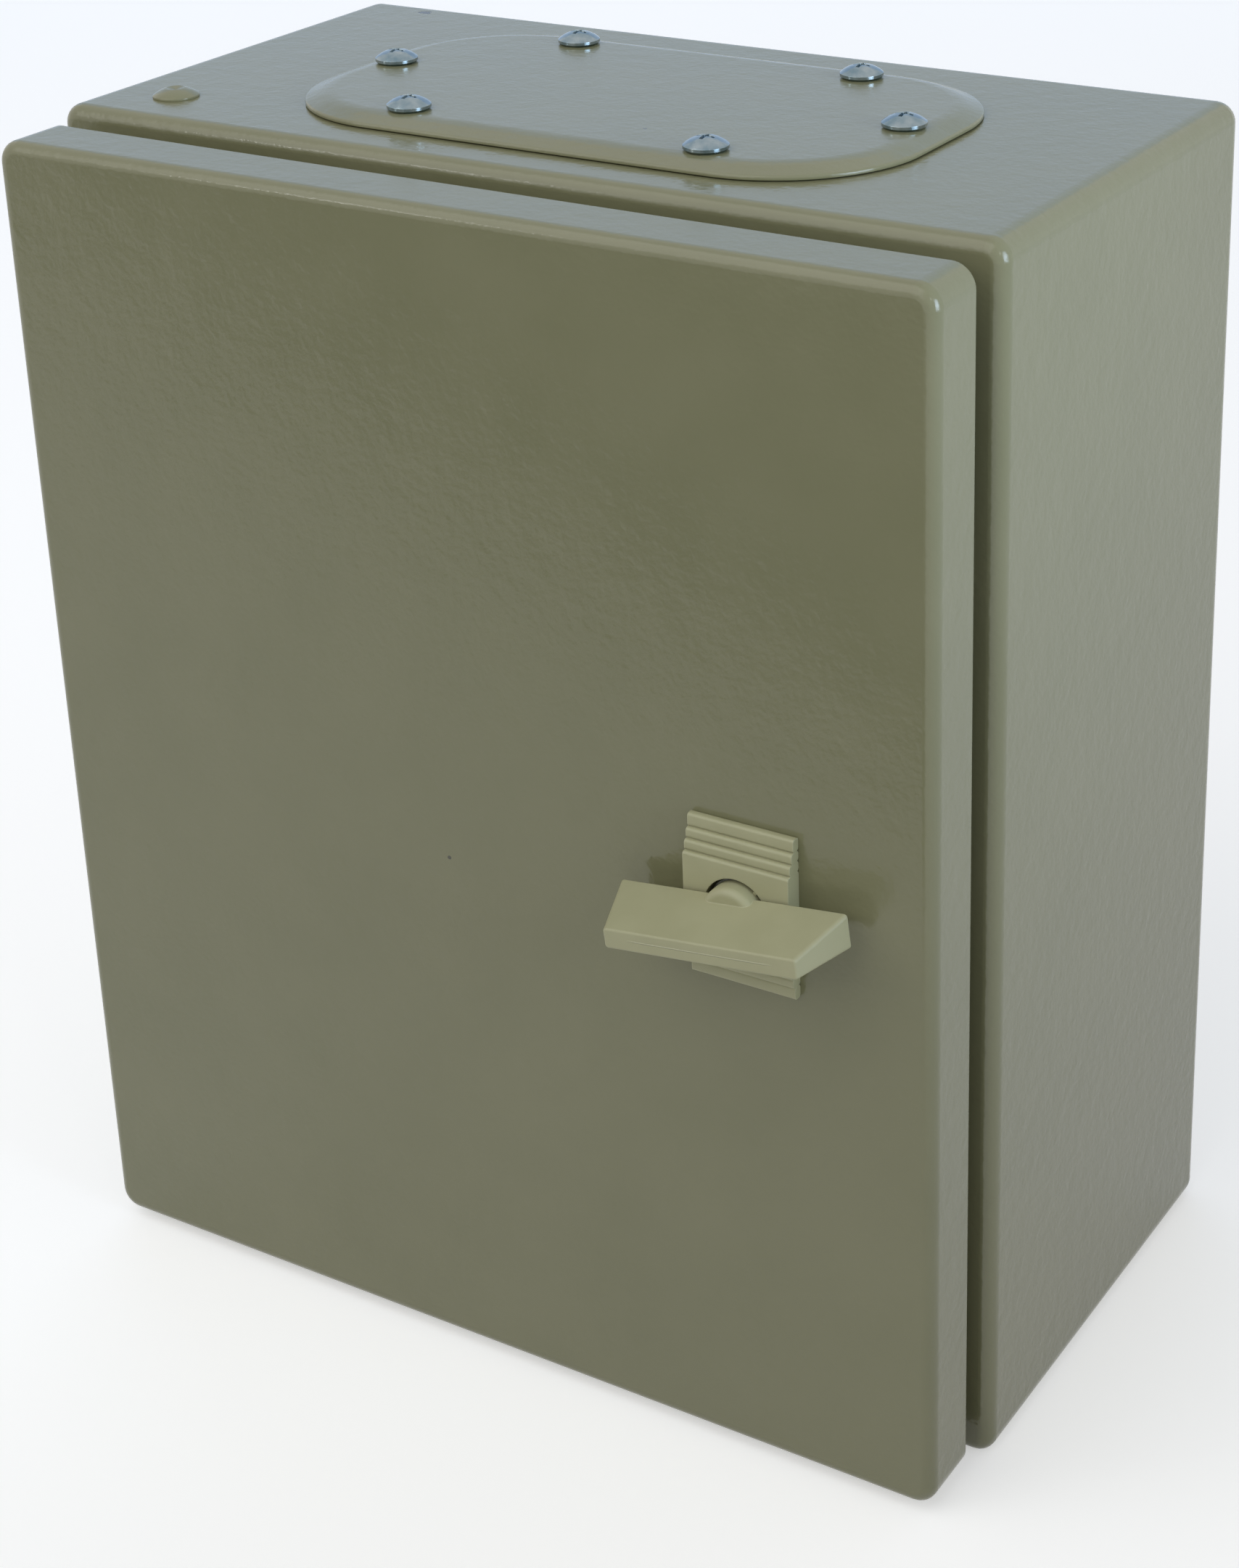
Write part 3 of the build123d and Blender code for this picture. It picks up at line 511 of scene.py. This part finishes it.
def mould_lock_face(finishes):
    """Lock face with its rolled bands, hub well, key, seal seat and flatted barrel."""
    low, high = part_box("lock_housing")
    middle_x = (low[0] + high[0]) / 2
    middle_z = (low[2] + high[2]) / 2
    front = low[1]
    door_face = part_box("door_panel")[0][1]
    pieces = []
    outer = (high[2] - low[2]) / 2
    depth = front + len(roll_heights) * roll_step * mm
    for height in roll_heights:
        inner = outer - height * mm
        for z_low, z_high in ((inner, outer), (-outer, -inner)):
            roll_low = (low[0], depth, middle_z + z_low)
            pieces.append(mould_roll(roll_low, (high[0], door_face, middle_z + z_high)))
        outer = inner
        depth -= roll_step * mm
    middle = mould_roll(
        (low[0], front, middle_z - outer), (high[0], door_face, middle_z + outer)
    )
    seat = door_face - seal_seat_depth * mm
    well_floor = door_face - hub_well_floor * mm
    carve(middle, add_rod(middle_x, middle_z, seal_seat_r * mm, seat, door_face + mm), "DIFFERENCE")
    barrel = add_rod(middle_x, middle_z, barrel_r * mm, seat - barrel_root * mm, high[1])
    flat = barrel_half_flat * mm
    flats = add_block(
        (middle_x - flat, front, middle_z - 2 * flat),
        (middle_x + flat, high[1] + mm, middle_z + 2 * flat),
    )
    carve(barrel, flats, "INTERSECT")
    carve(middle, barrel, "UNION")
    well = add_rod(middle_x, middle_z, hub_well_r * mm, front - mm, well_floor)
    carve(middle, well, "DIFFERENCE")
    bore = add_rod(middle_x, middle_z, spindle_bore_r * mm, front - mm, high[1] + mm)
    carve(middle, bore, "DIFFERENCE")
    key_r = (hub_well_r - key_size[0] / 4) * mm
    key_x = middle_x + key_r * math.cos(key_angle)
    key_z = middle_z + key_r * math.sin(key_angle)
    reach = [side / 2 * mm for side in key_size]
    key = add_block((-reach[0], 0, -reach[2]), (reach[0], 2 * reach[1], reach[2]))
    round_off(key, key_edge * mm, 2)
    key.rotation_euler = (0, -key_angle, 0)
    key.location = (key_x, front + key_behind_face * mm, key_z)
    bpy.ops.object.transform_apply(location=True, rotation=True, scale=True)
    face = gather([middle, key] + pieces, "moulded_lock_face")
    hang_on(face, "door", "handle_plastic", finishes, ["lock_housing"])


# Studio


def seen_directly(tree):
    """1 for rays from the camera, mirror images and glass, and 0 for the light on the object."""
    path = tree.nodes.new("ShaderNodeLightPath")
    seen = combine(tree, "MAXIMUM", path.outputs["Is Camera Ray"], path.outputs["Is Glossy Ray"])
    return combine(tree, "MAXIMUM", seen, path.outputs["Is Transmission Ray"])


def floor_finish():
    """Pale floor that looks white and keeps the object's shadow."""
    material, tree, shader, _ = start_finish("pale_floor")
    shader.inputs["Base Color"].default_value = floor_white
    shader.inputs["Roughness"].default_value = chalky
    shader.inputs["Emission Color"].default_value = white
    glow = combine(tree, "MULTIPLY", seen_directly(tree), floor_glow)
    tree.links.new(glow, shader.inputs["Emission Strength"])
    return material


def lay_floor():
    """Large plain floor under the object."""
    bpy.ops.object.select_all(action="DESELECT")
    bpy.ops.mesh.primitive_plane_add(size=floor_side, location=(0, 0, 0))
    floor = bpy.context.object
    floor.name = "studio_floor"
    floor.data.materials.append(floor_finish())


def light_room():
    """Even pale surroundings that look white."""
    world = bpy.data.worlds.new("pale_room")
    bpy.context.scene.world = world
    world.use_nodes = True
    tree = world.node_tree
    light = tree.nodes["Background"]
    light.inputs["Color"].default_value = room_colour
    light.inputs["Strength"].default_value = room_level
    backdrop = tree.nodes.new("ShaderNodeBackground")
    backdrop.inputs["Color"].default_value = white
    mix = tree.nodes.new("ShaderNodeMixShader")
    tree.links.new(seen_directly(tree), mix.inputs["Fac"])
    tree.links.new(light.outputs["Background"], mix.inputs[1])
    tree.links.new(backdrop.outputs["Background"], mix.inputs[2])
    tree.links.new(mix.outputs["Shader"], tree.nodes["World Output"].inputs["Surface"])


def soft_box(name, place, aim, side, power, colour):
    """Square area light turned towards a point."""
    lamp = bpy.data.lights.new(name, "AREA")
    lamp.shape = "SQUARE"
    lamp.size = side
    lamp.energy = power
    lamp.color = colour
    obj = bpy.data.objects.new(name, lamp)
    obj.location = place
    obj.rotation_euler = (Vector(aim) - Vector(place)).to_track_quat("-Z", "Y").to_euler()
    obj.visible_camera = False
    bpy.context.scene.collection.objects.link(obj)


def set_lights():
    """A plain light in front, a cool window at the right and two small lamps for the glints."""
    for lamp in lamps:
        soft_box(*lamp)
    bpy.data.lights["right_window"].spread = window_spread


def stand_panel(name, foot, low, height, material):
    """Upright panel over a line on the floor, seen only in mirror images."""
    bpy.ops.object.select_all(action="DESELECT")
    bpy.ops.mesh.primitive_plane_add(size=1.0)
    panel = bpy.context.object
    panel.name = name
    (left_x, left_y), (right_x, right_y) = foot
    turn = math.atan2(right_y - left_y, right_x - left_x)
    panel.scale = (math.hypot(right_x - left_x, right_y - left_y), height, 1.0)
    panel.rotation_euler = (math.radians(90), 0, turn)
    panel.location = ((left_x + right_x) / 2, (left_y + right_y) / 2, low + height / 2)
    panel.visible_camera = False
    panel.data.materials.append(material)


def stand_panels():
    """A low grey card that the door mirrors, and a cool screen that the top mirrors."""
    material, _, shader, _ = start_finish("grey_card")
    shader.inputs["Base Color"].default_value = card_grey
    shader.inputs["Roughness"].default_value = chalky
    stand_panel("grey_card", card_foot, 0.0, card_height, material)
    material, _, shader, _ = start_finish("cool_screen")
    shader.inputs["Base Color"].default_value = black
    shader.inputs["Emission Color"].default_value = screen_blue
    shader.inputs["Emission Strength"].default_value = 1.0
    stand_panel("cool_screen", screen_foot, screen_low, screen_height, material)


def place_camera():
    """Camera fitted to the photograph's straight edges."""
    back = Vector((
        math.sin(camera_azimuth) * math.cos(camera_elevation),
        -math.cos(camera_azimuth) * math.cos(camera_elevation),
        math.sin(camera_elevation),
    ))
    level = (-back).cross(Vector((0, 0, 1))).normalized()
    upright = level.cross(-back)
    right = level * math.cos(camera_roll) + upright * math.sin(camera_roll)
    up = upright * math.cos(camera_roll) - level * math.sin(camera_roll)
    lens = bpy.data.cameras.new("photo_camera")
    lens.sensor_fit = "VERTICAL"
    lens.sensor_height = sensor_side
    lens.lens = focal_pixels / photo_height * sensor_side
    lens.shift_x = (photo_width / 2 - axis_pixel_x) / photo_height
    lens.shift_y = (axis_pixel_y - photo_height / 2) / photo_height
    lens.clip_start = 0.02
    camera = bpy.data.objects.new("photo_camera", lens)
    bpy.context.scene.collection.objects.link(camera)
    turn = Matrix((right, up, back)).transposed().to_4x4()
    camera.matrix_world = Matrix.Translation(camera_target + back * camera_distance) @ turn
    bpy.context.scene.camera = camera


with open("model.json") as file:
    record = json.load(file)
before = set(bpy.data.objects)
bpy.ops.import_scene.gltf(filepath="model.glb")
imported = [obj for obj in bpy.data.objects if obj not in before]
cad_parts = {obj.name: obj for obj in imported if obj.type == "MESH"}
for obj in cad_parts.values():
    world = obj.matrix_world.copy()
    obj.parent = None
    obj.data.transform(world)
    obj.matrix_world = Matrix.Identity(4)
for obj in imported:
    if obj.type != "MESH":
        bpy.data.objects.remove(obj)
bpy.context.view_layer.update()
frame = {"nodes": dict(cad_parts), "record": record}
bpy.context.scene.view_settings.view_transform = "Standard"
finishes = finish_nodes()
mould_lock_face(finishes)
lay_floor()
light_room()
set_lights()
stand_panels()
place_camera()
